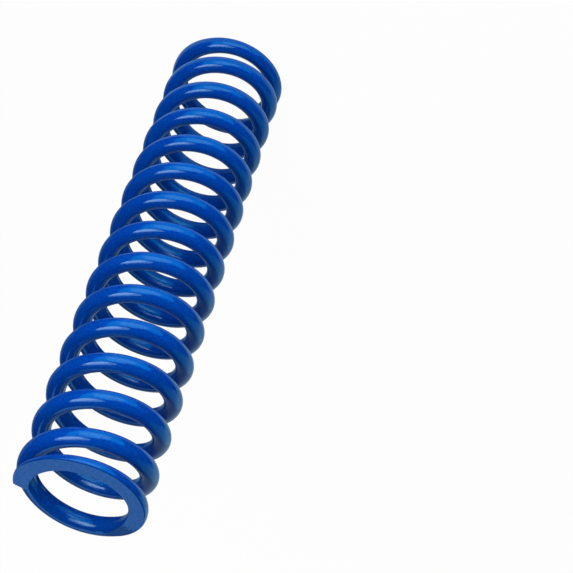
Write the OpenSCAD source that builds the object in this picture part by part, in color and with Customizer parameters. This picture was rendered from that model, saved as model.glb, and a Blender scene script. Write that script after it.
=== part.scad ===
// Compression spring for a coil-over shock absorber: one round wire, wound right-handed,
// with a closed coil at each end that is ground flat to seat on its spring plate.
// It stands on its lower ground end, with the coil's axis on +Z. Sizes are in millimetres.

/* [Wire] */
// Diameter of the wire with its coat
wire_d = 19.05; // [10:0.05:24]

/* [Coil] */
// Clear diameter inside the coils, which the shock absorber's body passes through
inside_d = 95.25; // [64:0.25:150]
// Length between the two ground ends with no load on the spring
free_len = 609.6; // [360:0.1:800]
// Turns of wire from tip to tip
turns = 14.64; // [8:0.01:16]

/* [Ends] */
// Turns at each end that are wound closed, one wire diameter to the turn
closed_turns = 0.57; // [0.4:0.01:0.85]
// Turns over which the closed coil opens to the working pitch
opening_turns = 0.36; // [0.2:0.01:0.6]
// Thickness of the wire left at each ground tip
tip_t = 5.9; // [1.5:0.1:8]
// Lean of the sheared tip in degrees, which leaves the inside of the wire longer
tip_lean = 28; // [0:1:45]
// Length of wire behind each tip that the shear pulls out of square
tip_pull = 29; // [20:1:60]

/* [Hidden] */

// Facets: rings in one turn of the coil, and sides of the wire
rings_per_turn = 32;
wire_sides = 12;

coil_d = inside_d + wire_d;
outside_d = inside_d + 2 * wire_d;
half_turns = turns / 2;

// Working pitch that gives the free length once the closed ends are taken off
pitch = wire_d
    + ((free_len + wire_d) / 2 - tip_t - wire_d * half_turns)
    / (half_turns - closed_turns - opening_turns / 2);

// Share of the opening, from 0 on the closed coil to 1 at the working pitch, u turns from a tip
function opening(u) = min(max((u - closed_turns) / opening_turns, 0), 1);

// Rise of the wire in one turn, u turns from a tip: the closed pitch eases into the working one
function rise_per_turn(u) = wire_d + (pitch - wire_d) * (3 - 2 * opening(u)) * pow(opening(u), 2);

// Turns at the working pitch that give the same extra rise as the first u turns
function opened_turns(u) =
    opening_turns * (1 - opening(u) / 2) * pow(opening(u), 3)
    + max(u - closed_turns - opening_turns, 0);

// Rise of the wire over the first u turns from a tip
function rise(u) = wire_d * u + (pitch - wire_d) * opened_turns(u);

// Height of the wire's centre above its own ground end, u turns from the tip
function height_from_end(u) = tip_t - wire_d / 2 + rise(u);

// Height of the wire's centre, t turns above the lower tip
function wire_z(t) = t < half_turns ? height_from_end(t) : free_len - height_from_end(turns - t);

// Share of the shear's pull that is left, u turns from a tip
function pull(u) = max(1 - u * PI * coil_d / tip_pull, 0);

// One ring of points round the wire, t turns above the lower tip, square to the wire or sheared
function wire_ring(t) =
    let (
        lead = atan(rise_per_turn(min(t, turns - t)) / (PI * coil_d)),
        shear = tan(tip_lean) * (pull(t) - pull(turns - t)),
        bearing = 360 * t
    )
    [for (side = [0 : wire_sides - 1])
        let (
            out = wire_d / 2 * cos(360 * side / wire_sides),
            up = wire_d / 2 * sin(360 * side / wire_sides),
            along = shear * out - up * sin(lead),
            radius = coil_d / 2 + out
        )
        [
            radius * cos(bearing) - along * sin(bearing),
            radius * sin(bearing) + along * cos(bearing),
            wire_z(t) + up * cos(lead)
        ]
    ];

// The wire as it is wound, before its ends are ground
module wound_wire() {
    last = ceil(turns * rings_per_turn);
    points = [for (i = [0 : last]) each wire_ring(min(i / rings_per_turn, turns))];
    skin = [
        for (i = [0 : last - 1], side = [0 : wire_sides - 1])
            let (
                here = i * wire_sides,
                next = here + wire_sides,
                beside = (side + 1) % wire_sides
            )
            each [
                [here + side, next + side, next + beside],
                [here + side, next + beside, here + beside]
            ]
    ];
    lower_tip = [for (side = [0 : wire_sides - 1]) side];
    upper_tip = [for (side = [wire_sides - 1 : -1 : 0]) last * wire_sides + side];
    polyhedron(points, concat(skin, [lower_tip, upper_tip]));
}

// What the grinding wheels take off below the lower end and above the upper one
module ground_off_stock() {
    stock_w = outside_d + wire_d;
    for (z = [-wire_d, free_len])
        translate([-stock_w / 2, -stock_w / 2, z])
            cube([stock_w, stock_w, wire_d]);
}

module coil_spring() {
    color("#0b4392")
        difference() {
            wound_wire();
            ground_off_stock();
        }
}

coil_spring();
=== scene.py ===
"""Looks of a coil-over shock's compression spring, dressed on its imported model.

Sizes are in metres. Places along the wire are in turns: t from the lower tip, u from the nearer tip.
"""

import math

import bmesh
import bpy
import numpy as np
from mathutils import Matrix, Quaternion, Vector


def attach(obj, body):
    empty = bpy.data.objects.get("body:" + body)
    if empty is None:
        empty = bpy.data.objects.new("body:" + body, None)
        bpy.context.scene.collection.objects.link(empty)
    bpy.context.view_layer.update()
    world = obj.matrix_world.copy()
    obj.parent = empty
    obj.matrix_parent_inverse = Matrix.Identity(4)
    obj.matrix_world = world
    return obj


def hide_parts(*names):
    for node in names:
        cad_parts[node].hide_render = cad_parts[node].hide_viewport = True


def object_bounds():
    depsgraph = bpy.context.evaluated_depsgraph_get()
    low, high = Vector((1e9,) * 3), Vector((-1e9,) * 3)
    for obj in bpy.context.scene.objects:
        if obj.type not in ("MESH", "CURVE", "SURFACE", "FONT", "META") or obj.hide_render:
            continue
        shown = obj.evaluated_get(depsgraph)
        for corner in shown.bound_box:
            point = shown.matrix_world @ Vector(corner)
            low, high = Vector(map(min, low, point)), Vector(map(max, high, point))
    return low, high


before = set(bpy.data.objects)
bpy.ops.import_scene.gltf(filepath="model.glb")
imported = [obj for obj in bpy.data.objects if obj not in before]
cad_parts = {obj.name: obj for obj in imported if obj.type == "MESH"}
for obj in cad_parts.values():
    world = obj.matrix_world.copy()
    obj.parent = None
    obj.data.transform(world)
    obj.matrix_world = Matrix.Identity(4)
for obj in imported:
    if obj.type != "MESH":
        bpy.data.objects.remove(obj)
cad_low, cad_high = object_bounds()

# The spring's sizes: the box gives the free length and the outside of the coils
FREE_LEN = cad_high.z - cad_low.z
OUTSIDE_D = cad_high.x - cad_low.x
WIRE_D = 0.01905
WIRE_R = WIRE_D / 2
COIL_R = (OUTSIDE_D - WIRE_D) / 2
ROUND_COIL = 2 * math.pi * COIL_R
TURNS = 14.64
CLOSED_TURNS = 0.57
OPENING_TURNS = 0.36
TIP_THICK = 0.0059
PITCH = WIRE_D + ((FREE_LEN + WIRE_D) / 2 - TIP_THICK - WIRE_D * TURNS / 2) / (
    TURNS / 2 - CLOSED_TURNS - OPENING_TURNS / 2
)

# The closed coil lies nearer to its ground end between these places
SAG = 0.0020
SAG_FROM, SAG_TO, SAG_EASE = 0.44, 0.56, 0.12

# The sheared tips: lean of the cut, wire that it pulls along, rounded corners and outside taper
TIP_LEAN = math.tan(math.radians(28))
TIP_PULL = 0.029
TIP_ROUND = 0.0042
TIP_TAPER = 0.0031
TAPER_LENGTH = 0.027

# The sloped outside edge of the ground face: where it runs, how far its rim drops, and the share
# of the face's half width that stays flat where the slope starts and where it is full
SLOPE_FROM, SLOPE_TO, SLOPE_EASE = 0.09, 0.44, 0.06
EDGE_DROP = 0.0006
LEAST_DROP_SHARE = 0.3
FLAT_AT_START, FLAT_AT_FULL_SLOPE = 0.86, 0.79

# Where the ground face ends: the least angle it spans, and the turns over which the wire rounds up
RUN_OUT_ANGLE = math.radians(7)
RUN_OUT_TURNS = 0.08

# Mesh of the wire. FACE_ANGLE is half of each ring's part that is kept for the ground face, EDGE_ROOM
# crowds the rest towards its edge, and TIP_RINGS are the distances of the first rings from the tip.
RINGS_PER_TURN = 120
RING_STEPS = math.ceil(TURNS * RINGS_PER_TURN)
WIRE_SIDES = 36
FACE_ANGLE = math.radians(40)
INNER_COLUMN = 1 - 2 * math.pi / WIRE_SIDES / FACE_ANGLE
EDGE_ROOM = 0.85
TIP_RINGS = (0.0020, 0.0033, 0.0050, 0.0080, 0.0116)
BROKEN_EDGE = 0.0013
SHARP_ANGLE = math.radians(20)

# Slack for rounded numbers: on the share of a ring, on a level and on the turns past a tip
SHARE_SLACK = 0.001
LEVEL_SLACK = 1e-6
TIP_SLACK = 0.1

# The coat's colours and gloss, and where the ground face's colour turns darker near its run-out
DEEP_BLUE = (0.0004, 0.050, 0.330, 1)
BLUE = (0.0006, 0.097, 0.448, 1)
# Painted shade: the wire's colour is taken up to a quarter of the way to this darker blue on the
# inside of the coil
INSIDE_SHADE_BLUE = (0.0003, 0.022, 0.16, 1)
FACE_BLUE = (0.007, 0.126, 0.440, 1)
FACE_PALE = (0.040, 0.210, 0.640, 1)
RUN_OUT_BLUE = (0.0006, 0.065, 0.29, 1)
RUN_OUT_FROM, RUN_OUT_TO, RUN_OUT_RAGGED = 0.604, 0.622, 0.05
GLOSS_TINT = (0.25, 1.0, 1.0, 1)
COAT_IOR = 1.7

# The studio: how white its floor and its background are to the eye
FLOOR_R = 14
FLOOR_DROP = 0.0002
FLOOR_GREY = (0.82, 0.82, 0.82, 1)
FLOOR_GLOW = 0.97
BACKGROUND_GLOW = 0.985
WHITE = (1, 1, 1, 1)
BLACK = (0, 0, 0, 1)
PLAIN_LIGHT = (1, 1, 1)


def smooth_step(x):
    x = np.clip(x, 0, 1)
    return (3 - 2 * x) * x**2


def swell(u, start, stop, ease):
    """Share that rises from 0 to 1 past start and falls back past stop."""
    return smooth_step((u - start) / ease) * (1 - smooth_step((u - stop) / ease))


def opening(u):
    """Share of the opening from the closed coil to the working pitch."""
    return np.clip((u - CLOSED_TURNS) / OPENING_TURNS, 0, 1)


def rise_per_turn(u):
    return WIRE_D + (PITCH - WIRE_D) * (3 - 2 * opening(u)) * opening(u) ** 2


def height_from_end(u):
    """Height of the wire's centre above its own ground end."""
    eased = OPENING_TURNS * (1 - opening(u) / 2) * opening(u) ** 3
    opened = eased + np.maximum(u - CLOSED_TURNS - OPENING_TURNS, 0)
    sag = SAG * swell(u, SAG_FROM, SAG_TO, SAG_EASE)
    return TIP_THICK - WIRE_R + WIRE_D * u + (PITCH - WIRE_D) * opened - sag


def wire_height(t):
    """Height of the wire's centre above the lower ground end."""
    return np.where(t < TURNS / 2, height_from_end(t), FREE_LEN - height_from_end(TURNS - t))


def points_of(spring):
    place = np.empty(len(spring.data.vertices) * 3)
    spring.data.vertices.foreach_get("co", place)
    return place


def wind_wire():
    """One ring of the wire, wound up the coil's axis by a screw."""
    bpy.ops.object.select_all(action="DESELECT")
    bpy.ops.mesh.primitive_circle_add(
        vertices=WIRE_SIDES,
        radius=WIRE_R,
        location=(COIL_R, 0, 0),
        rotation=(math.pi / 2, 0, 0),
    )
    spring = bpy.context.object
    spring.name = spring.data.name = "spring_wire"
    bpy.ops.object.transform_apply(location=True, rotation=True, scale=True)
    winding = spring.modifiers.new("winding", "SCREW")
    winding.axis = "Z"
    winding.angle = 2 * math.pi * TURNS
    winding.screw_offset = PITCH * TURNS
    winding.steps = winding.render_steps = RING_STEPS
    bpy.ops.object.modifier_apply(modifier=winding.name)
    return spring


def place_rings(wound):
    """Place of each ring along the wire, with the first and last ones set close for the tips."""
    t = wound.copy()
    near = np.array(TIP_RINGS)[:, None] / ROUND_COIL
    t[: len(near)] = near
    t[-len(near) :] = TURNS - near[::-1]
    return t


def tip_pull(turns_from_tip):
    """Share of the shear's pull that is left at a distance from the tip."""
    return np.maximum(1 - turns_from_tip * ROUND_COIL / TIP_PULL, 0)


def set_coils(spring):
    """Moves each ring to its place on the closed or open coil, and lays the ground faces flat."""
    place = points_of(spring).reshape(RING_STEPS + 1, WIRE_SIDES, 3)
    wound = np.linspace(0, TURNS, RING_STEPS + 1)[:, None]
    out = np.hypot(place[..., 0], place[..., 1]) - COIL_R
    up = place[..., 2] - PITCH * wound
    t = place_rings(wound)
    u = np.minimum(t, TURNS - t)
    end = np.where(t < TURNS / 2, -1, 1)
    lead = np.arctan2(rise_per_turn(u), ROUND_COIL)

    # Angle round the section from the side that faces its ground end, and the angle of the face's edge
    round_wire = np.arctan2(out, up * end)
    to_wheel = height_from_end(u) / np.cos(lead)
    cut_angle = np.arccos(np.clip(to_wheel / WIRE_R, -1, 1))
    lower_half = slice(0, (RING_STEPS + 1) // 2)
    run_out = u[lower_half][cut_angle[lower_half] <= 0].min()
    eased = smooth_step((u - run_out) / RUN_OUT_TURNS)
    edge_angle = np.maximum(cut_angle, RUN_OUT_ANGLE + (FACE_ANGLE - RUN_OUT_ANGLE) * eased)
    half_width = WIRE_R * np.sin(edge_angle)

    # Each ring's points are shared out between the ground face and the round of the wire
    share = np.abs(round_wire) / FACE_ANGLE
    on_face = share <= 1 + SHARE_SLACK
    ground = on_face & (cut_angle > RUN_OUT_ANGLE)
    past_edge = (np.abs(round_wire) - FACE_ANGLE) / (math.pi - FACE_ANGLE)
    past_edge = past_edge + EDGE_ROOM * (1 - eased) * past_edge * (1 - past_edge)
    on_round = edge_angle + past_edge * (math.pi - edge_angle)
    angle = np.where(on_face, share * edge_angle, on_round)
    out = np.where(ground, share * half_width, WIRE_R * np.sin(angle)) * np.sign(round_wire)
    up = WIRE_R * np.cos(angle)
    up = end * np.where(on_face, np.minimum(up, to_wheel), up)
    up = np.where(ground, end * to_wheel, up)

    # The outside edge of the ground face slopes off behind the tip
    slope = swell(u, SLOPE_FROM, SLOPE_TO, SLOPE_EASE)
    outside = ground & (out > 0) & (slope > 0)
    rim = outside & (share > (1 + INNER_COLUMN) / 2)
    flat = FLAT_AT_START + (FLAT_AT_FULL_SLOPE - FLAT_AT_START) * slope
    out = np.where(outside & ~rim, half_width * flat * share / INNER_COLUMN, out)
    drop = EDGE_DROP * (LEAST_DROP_SHARE + (1 - LEAST_DROP_SHARE) * slope)
    up = np.where(rim, up - end * drop, up)

    # The tips are tapered on their outside, and rounded off on their inside and underneath
    from_tip = u * ROUND_COIL - TIP_RINGS[0]
    short = np.clip(1 - from_tip / TIP_ROUND, 0, 1)
    corner = TIP_ROUND * (1 - np.sqrt(1 - short**2))
    taper = TIP_TAPER * np.clip(1 - from_tip / TAPER_LENGTH, 0, 1)
    out = out * (1 - np.where(out > 0, taper, corner) / half_width)
    up = end * to_wheel + (up - end * to_wheel) * (1 - corner / WIRE_R)

    # The sections stand square to the wire, and lean at the tips
    along = TIP_LEAN * (tip_pull(t) - tip_pull(TURNS - t)) * out - up * np.sin(lead)
    bearing = 2 * math.pi * t
    radius = COIL_R + out
    place[..., 0] = radius * np.cos(bearing) - along * np.sin(bearing)
    place[..., 1] = radius * np.sin(bearing) + along * np.cos(bearing)
    place[..., 2] = wire_height(t) + up * np.cos(lead)
    spring.data.vertices.foreach_set("co", place.ravel())
    spring.data.update()


def lie_on_end(points):
    return all(min(abs(p.co.z), abs(p.co.z - FREE_LEN)) < LEVEL_SLACK for p in points)


def close_tips(spring):
    """Fills the two open tips, and breaks the sharp edges round the tips and the ground faces."""
    bpy.ops.object.mode_set(mode="EDIT")
    bpy.ops.mesh.select_mode(type="EDGE")
    bpy.ops.mesh.select_all(action="DESELECT")
    bpy.ops.mesh.select_non_manifold(
        extend=False,
        use_boundary=True,
        use_multi_face=False,
        use_non_contiguous=False,
        use_verts=False,
        use_wire=False,
    )
    bpy.ops.mesh.edge_face_add()
    bpy.ops.mesh.select_all(action="SELECT")
    bpy.ops.mesh.normals_make_consistent(inside=False)
    shape = bmesh.from_edit_mesh(spring.data)
    for face in shape.faces:
        face.material_index = 1 if lie_on_end(face.verts) else 0
    bmesh.update_edit_mesh(spring.data)
    bpy.ops.mesh.select_all(action="DESELECT")
    bpy.ops.mesh.edges_select_sharp(sharpness=SHARP_ANGLE)
    bpy.ops.mesh.bevel(
        offset=BROKEN_EDGE, segments=3, profile=0.5, clamp_overlap=True, material=0
    )
    bpy.ops.object.mode_set(mode="OBJECT")
    bpy.ops.object.shade_smooth()
    points = spring.data.vertices
    for face in spring.data.polygons:
        face.use_smooth = not lie_on_end(points[v] for v in face.vertices)


def straighten(spring):
    """Gives each point its place on the straight wire, so that marks can run along it."""
    x, y, z = points_of(spring).reshape(-1, 3).T
    bearing = np.arctan2(y, x) / (2 * math.pi) % 1
    coils = np.arange(-1, math.ceil(TURNS) + 1)
    t = bearing[:, None] + coils[None, :]
    miss = np.abs(wire_height(np.clip(t, 0, TURNS)) - z[:, None])
    miss += np.where((t < -TIP_SLACK) | (t > TURNS + TIP_SLACK), 1, 0)
    t = t[np.arange(len(t)), miss.argmin(1)]
    along = t * math.hypot(ROUND_COIL, PITCH)
    above = z - wire_height(np.clip(t, 0, TURNS))
    wire = np.stack([along, np.hypot(x, y) - COIL_R, above], 1)
    layer = spring.data.attributes.new("straight_wire", "FLOAT_VECTOR", "POINT")
    layer.data.foreach_set("vector", wire.astype(np.float32).ravel())
    layer = spring.data.attributes.new("turns_from_tip", "FLOAT", "POINT")
    layer.data.foreach_set("value", np.minimum(t, TURNS - t).astype(np.float32))


def node(tree, kind, **values):
    made = tree.nodes.new(kind)
    for name, value in values.items():
        setattr(made, name, value)
    return made


def put(tree, value, socket):
    """Links another node's output to a socket, or sets a plain value on it."""
    if isinstance(value, bpy.types.NodeSocket):
        tree.links.new(value, socket)
    else:
        socket.default_value = value


def noise(tree, place, scale, detail, rough=0.5):
    made = node(tree, "ShaderNodeTexNoise")
    put(tree, place, made.inputs["Vector"])
    put(tree, scale, made.inputs["Scale"])
    put(tree, detail, made.inputs["Detail"])
    put(tree, rough, made.inputs["Roughness"])
    return made.outputs["Fac"]


def math_node(tree, operation, a, b):
    made = node(tree, "ShaderNodeMath", operation=operation)
    put(tree, a, made.inputs[0])
    put(tree, b, made.inputs[1])
    return made.outputs[0]


def weighted_sum(tree, *parts):
    total = None
    for value, weight in parts:
        part = math_node(tree, "MULTIPLY", value, weight)
        total = part if total is None else math_node(tree, "ADD", total, part)
    return total


def largest(tree, first, *others):
    for other in others:
        first = math_node(tree, "MAXIMUM", first, other)
    return first


def map_range(tree, value, low, high, to_low, to_high):
    made = node(tree, "ShaderNodeMapRange")
    names = ("Value", "From Min", "From Max", "To Min", "To Max")
    for name, given in zip(names, (value, low, high, to_low, to_high)):
        put(tree, given, made.inputs[name])
    return made.outputs["Result"]


def mix_colour(tree, share, a, b):
    made = node(tree, "ShaderNodeMix", data_type="RGBA")
    put(tree, share, made.inputs["Factor"])
    for name, value in (("A", a), ("B", b)):
        put(tree, value, next(s for s in made.inputs if s.name == name and s.type == "RGBA"))
    return next(s for s in made.outputs if s.type == "RGBA")


def bump(tree, shader, height, strength, depth):
    made = node(tree, "ShaderNodeBump")
    put(tree, strength, made.inputs["Strength"])
    put(tree, depth, made.inputs["Distance"])
    put(tree, height, made.inputs["Height"])
    put(tree, made.outputs["Normal"], shader.inputs["Normal"])


def baked_coat_grain():
    """Grain of the baked powder coat: a peel in its height, soft clouds and small specks."""
    group = bpy.data.node_groups.new("baked_coat_grain", "ShaderNodeTree")
    for label, way, kind in (
        ("Place", "INPUT", "NodeSocketVector"),
        ("Peel Scale", "INPUT", "NodeSocketFloat"),
        ("Speck Scale", "INPUT", "NodeSocketFloat"),
        ("Height", "OUTPUT", "NodeSocketFloat"),
        ("Clouds", "OUTPUT", "NodeSocketFloat"),
        ("Specks", "OUTPUT", "NodeSocketFloat"),
    ):
        group.interface.new_socket(label, in_out=way, socket_type=kind)
    given = node(group, "NodeGroupInput").outputs
    result = node(group, "NodeGroupOutput").inputs
    peel = noise(group, given["Place"], given["Peel Scale"], 0.5)
    specks = noise(group, given["Place"], given["Speck Scale"], 0.0)
    clouds = noise(group, given["Place"], 28.0, 3.0, 0.55)
    put(group, peel, result["Height"])
    put(group, map_range(group, clouds, 0.3, 0.7, 0, 1), result["Clouds"])
    put(group, map_range(group, specks, 0.3, 0.7, 0, 1), result["Specks"])
    return group


def place_grain(tree, grain, peel_scale, speck_scale):
    made = node(tree, "ShaderNodeGroup", node_tree=grain)
    where = node(tree, "ShaderNodeTexCoord")
    put(tree, where.outputs["Object"], made.inputs["Place"])
    put(tree, peel_scale, made.inputs["Peel Scale"])
    put(tree, speck_scale, made.inputs["Speck Scale"])
    return made.outputs


def new_material(name):
    material = bpy.data.materials.new(name)
    material.use_nodes = True
    tree = material.node_tree
    return material, tree, tree.nodes["Principled BSDF"]


def wire_coat(grain):
    """Gloss blue coat on the wound wire, with shade painted darker inside the coil, and faint marks
    along the wire.
    """
    material, tree, shader = new_material("blue_coat_on_wire")
    coat = place_grain(tree, grain, peel_scale=480.0, speck_scale=560.0)
    wire = node(tree, "ShaderNodeAttribute", attribute_name="straight_wire")
    split = node(tree, "ShaderNodeSeparateXYZ")
    put(tree, wire.outputs["Vector"], split.inputs[0])
    inside = map_range(tree, split.outputs["Y"], -0.005, 0.003, 1, 0)

    stretch = node(tree, "ShaderNodeMapping")
    stretch.inputs["Scale"].default_value = (5, 800, 800)
    put(tree, wire.outputs["Vector"], stretch.inputs["Vector"])
    drawn = noise(tree, stretch.outputs["Vector"], 1.0, 1.5)
    drawn = map_range(tree, drawn, 0.35, 0.68, 0, 1)
    drawn = math_node(tree, "MULTIPLY", drawn, inside)

    tone = weighted_sum(tree, (coat["Clouds"], 0.25), (drawn, 0.25), (coat["Specks"], 0.5))
    colour = mix_colour(tree, tone, DEEP_BLUE, BLUE)
    # Painted shade: darker blue on the inside of the coil, where the coils shade each other
    colour = mix_colour(tree, math_node(tree, "MULTIPLY", inside, 0.25), colour, INSIDE_SHADE_BLUE)
    put(tree, colour, shader.inputs["Base Color"])
    rough = map_range(tree, inside, 0, 1, 0.05, 0.10)
    rough = weighted_sum(tree, (rough, 1.0), (coat["Specks"], 0.03))
    put(tree, rough, shader.inputs["Roughness"])
    shader.inputs["IOR"].default_value = COAT_IOR
    shader.inputs["Specular Tint"].default_value = GLOSS_TINT
    height = weighted_sum(tree, (coat["Height"], 1.0), (drawn, 0.8))
    bump(tree, shader, height, strength=0.6, depth=0.00009)
    return material


def face_coat(grain):
    """Dull, fine-grained blue coat on the ground end faces, turning darker past a ragged line where
    they run out.
    """
    material, tree, shader = new_material("blue_coat_on_ground_face")
    coat = place_grain(tree, grain, peel_scale=560.0, speck_scale=700.0)
    tone = weighted_sum(tree, (coat["Clouds"], 0.25), (coat["Specks"], 0.75))
    colour = mix_colour(tree, tone, FACE_BLUE, FACE_PALE)
    from_tip = node(tree, "ShaderNodeAttribute", attribute_name="turns_from_tip")
    # The face's colour turns darker past a ragged line near its run-out
    ragged = weighted_sum(tree, (from_tip.outputs["Fac"], 1.0), (coat["Height"], RUN_OUT_RAGGED))
    run_out = map_range(tree, ragged, RUN_OUT_FROM, RUN_OUT_TO, 0, 1)
    put(tree, mix_colour(tree, run_out, colour, RUN_OUT_BLUE), shader.inputs["Base Color"])
    put(tree, map_range(tree, coat["Clouds"], 0, 1, 0.46, 0.58), shader.inputs["Roughness"])
    shader.inputs["Specular IOR Level"].default_value = 0.5
    shader.inputs["Specular Tint"].default_value = GLOSS_TINT
    bump(tree, shader, coat["Height"], strength=0.5, depth=0.0001)
    return material


def lay_disc(name, corners, radius, place, turn=0.0):
    """Flat disc, or a square where it has four corners."""
    bpy.ops.object.select_all(action="DESELECT")
    bpy.ops.mesh.primitive_circle_add(
        vertices=corners,
        radius=radius,
        fill_type="NGON",
        location=place,
        rotation=(0, 0, turn),
    )
    disc = bpy.context.object
    disc.name = disc.data.name = name
    return disc


def make_floor():
    """Plain pale floor: white to the eye, with the spring's faint shadow on it."""
    floor = lay_disc("floor", 128, FLOOR_R, (0, 0, -FLOOR_DROP))
    material, tree, _ = new_material("pale_floor")
    tree.nodes.clear()
    matt = node(tree, "ShaderNodeBsdfDiffuse")
    matt.inputs["Color"].default_value = FLOOR_GREY
    glow = node(tree, "ShaderNodeEmission")
    glow.inputs["Color"].default_value = WHITE
    rays = node(tree, "ShaderNodeLightPath").outputs
    seen = largest(tree, rays["Is Camera Ray"], rays["Is Glossy Ray"], rays["Is Transmission Ray"])
    mix = node(tree, "ShaderNodeMixShader")
    put(tree, math_node(tree, "MULTIPLY", seen, FLOOR_GLOW), mix.inputs[0])
    put(tree, matt.outputs[0], mix.inputs[1])
    put(tree, glow.outputs[0], mix.inputs[2])
    surface = node(tree, "ShaderNodeOutputMaterial").inputs["Surface"]
    put(tree, mix.outputs[0], surface)
    floor.data.materials.append(material)


def lay_mat(name, corners, radius, bearing, reach, lift, colour):
    """Mat on the floor that glows in its colour and is seen only in the coat's gloss, where it paints
    a reflection; a square one points a corner at the spring.
    """
    a = math.radians(bearing)
    place = (reach * math.cos(a), reach * math.sin(a), lift)
    mat = lay_disc(name, corners, radius, place, a + math.pi / 2)
    material, _, shader = new_material(name)
    shader.inputs["Base Color"].default_value = BLACK
    shader.inputs["Specular IOR Level"].default_value = 0
    shader.inputs["Emission Color"].default_value = colour
    shader.inputs["Emission Strength"].default_value = 1
    mat.data.materials.append(material)
    mat.visible_camera = mat.visible_diffuse = False
    mat.visible_shadow = mat.visible_transmission = False


def lay_mats():
    # Painted reflections: the mats glow in their colours and show only in the coat's gloss, a dark
    # floor, pale and grey sheets behind and bright blue light in front
    lay_mat("dark_mat", 48, 13.5, 0, 0.0, -0.00018, (0.02, 0.02, 0.02, 1))
    lay_mat("pale_mat_behind", 4, 6.0, -30, 5.65, -0.00014, (0.46, 0.62, 0.72, 1))
    lay_mat("grey_mat_behind", 4, 6.0, -78, 6.0, -0.00010, (0.15, 0.25, 0.34, 1))
    lay_mat("wide_mat_in_front", 4, 2.0, 131, 2.1, -0.00010, (0.10, 0.84, 1.7, 1))
    lay_mat("bright_mat_in_front", 48, 0.60, 136, 1.3, -0.00006, (1.4, 1.60, 2.5, 1))


def light_background():
    """Background that is white to the eye, and a pale horizon on one side in the coat's gloss."""
    world = bpy.data.worlds.new("studio")
    bpy.context.scene.world = world
    world.use_nodes = True
    tree = world.node_tree
    background = tree.nodes["Background"]
    way = node(tree, "ShaderNodeTexCoord").outputs["Generated"]
    split = node(tree, "ShaderNodeSeparateXYZ")
    put(tree, way, split.inputs[0])
    level = map_range(tree, split.outputs["Z"], 0.0, 0.6, 0.60, 0.05)
    behind = node(tree, "ShaderNodeVectorMath", operation="DOT_PRODUCT")
    bearing = math.radians(-20)
    behind.inputs[1].default_value = (math.cos(bearing), math.sin(bearing), 0)
    put(tree, way, behind.inputs[0])
    share = map_range(tree, behind.outputs["Value"], 0.6, 0.95, 0.07, 1.0)
    horizon = math_node(tree, "MULTIPLY", level, share)
    rays = node(tree, "ShaderNodeLightPath").outputs
    seen = largest(tree, rays["Is Camera Ray"], rays["Is Transmission Ray"])
    white = math_node(tree, "MULTIPLY", seen, BACKGROUND_GLOW)
    put(tree, largest(tree, horizon, white), background.inputs["Strength"])
    background.inputs["Color"].default_value = WHITE


def hang_lamp(name, bearing, height, distance, wide, tall, watts, colour=PLAIN_LIGHT, oval=False):
    """Flat lamp that faces the middle of the spring, from a bearing and a height in degrees."""
    light = bpy.data.lights.new(name, "AREA")
    light.shape = "ELLIPSE" if oval else "RECTANGLE"
    light.size, light.size_y, light.energy = wide, tall, watts
    light.color = colour
    lamp = bpy.data.objects.new(name, light)
    a, e = math.radians(bearing), math.radians(height)
    way = Vector((math.cos(e) * math.cos(a), math.cos(e) * math.sin(a), math.sin(e)))
    lamp.location = Vector((0, 0, FREE_LEN / 2)) + way * distance
    lamp.rotation_euler = (-way).to_track_quat("-Z", "Y").to_euler()
    lamp.visible_camera = False
    bpy.context.scene.collection.objects.link(lamp)
    return lamp


def hang_lamps():
    """A key lamp and its glow, coloured panels for the gloss, and soft fills that it doesn't show."""
    hang_lamp("key_lamp", 170, 47, 1.7, 0.95, 0.64, 8.3, (1, 0.36, 0.44), oval=True)
    hang_lamp("key_glow", 166, 51, 1.75, 1.34, 1.14, 12.0, (1, 0.52, 0.60), oval=True)
    hang_lamp("tall_panel", 151, 11.5, 1.6, 1.36, 1.26, 10.5, (0.05, 0.52, 1))
    hang_lamp("low_panel", 108, 3.5, 1.6, 1.16, 0.82, 5.3, (0.05, 0.46, 1))
    hang_lamp("bright_panel", 134, 2, 1.55, 1.3, 1.42, 6.0, (1, 0.55, 0.50), oval=True)
    for panel in (
        hang_lamp("back_panel", 304, 52, 1.7, 0.66, 0.76, 1.9, (0.36, 0.58, 1)),
        hang_lamp("side_panel", 9, 21, 1.6, 1.36, 1.64, 3.8, (0.12, 0.58, 1)),
    ):
        panel.visible_diffuse = False
    for fill in (
        hang_lamp("low_fill", 130, 7, 1.6, 1.4, 0.9, 6.5),
        hang_lamp("top_fill", 128, 80, 1.8, 1.2, 1.2, 4.0),
        hang_lamp("side_fill", 20, 30, 1.6, 1.0, 1.0, 2.5),
        hang_lamp("back_fill", 308, 8, 1.6, 1.4, 0.9, 8.0),
    ):
        fill.visible_glossy = False


def set_camera():
    """Camera at the photograph's viewing angle."""
    eye = Vector((-0.74474, 0.94901, 1.29917))
    aim = Vector((0.09601, 0.09446, 0.28862))
    roll = Quaternion((0, 0, 1), -math.radians(164.525))
    data = bpy.data.cameras.new("camera")
    data.sensor_width, data.lens = 36, 91.357
    data.clip_start, data.clip_end = 0.05, 100
    camera = bpy.data.objects.new("camera", data)
    camera.location = eye
    camera.rotation_mode = "QUATERNION"
    camera.rotation_quaternion = (aim - eye).to_track_quat("-Z", "Y") @ roll
    bpy.context.scene.collection.objects.link(camera)
    bpy.context.scene.camera = camera


set_camera()
spring = wind_wire()
set_coils(spring)
close_tips(spring)
straighten(spring)
grain = baked_coat_grain()
spring.data.materials.append(wire_coat(grain))
spring.data.materials.append(face_coat(grain))
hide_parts("coil_spring")
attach(spring, "root")
make_floor()
lay_mats()
light_background()
hang_lamps()
bpy.context.scene.view_settings.view_transform = "Standard"
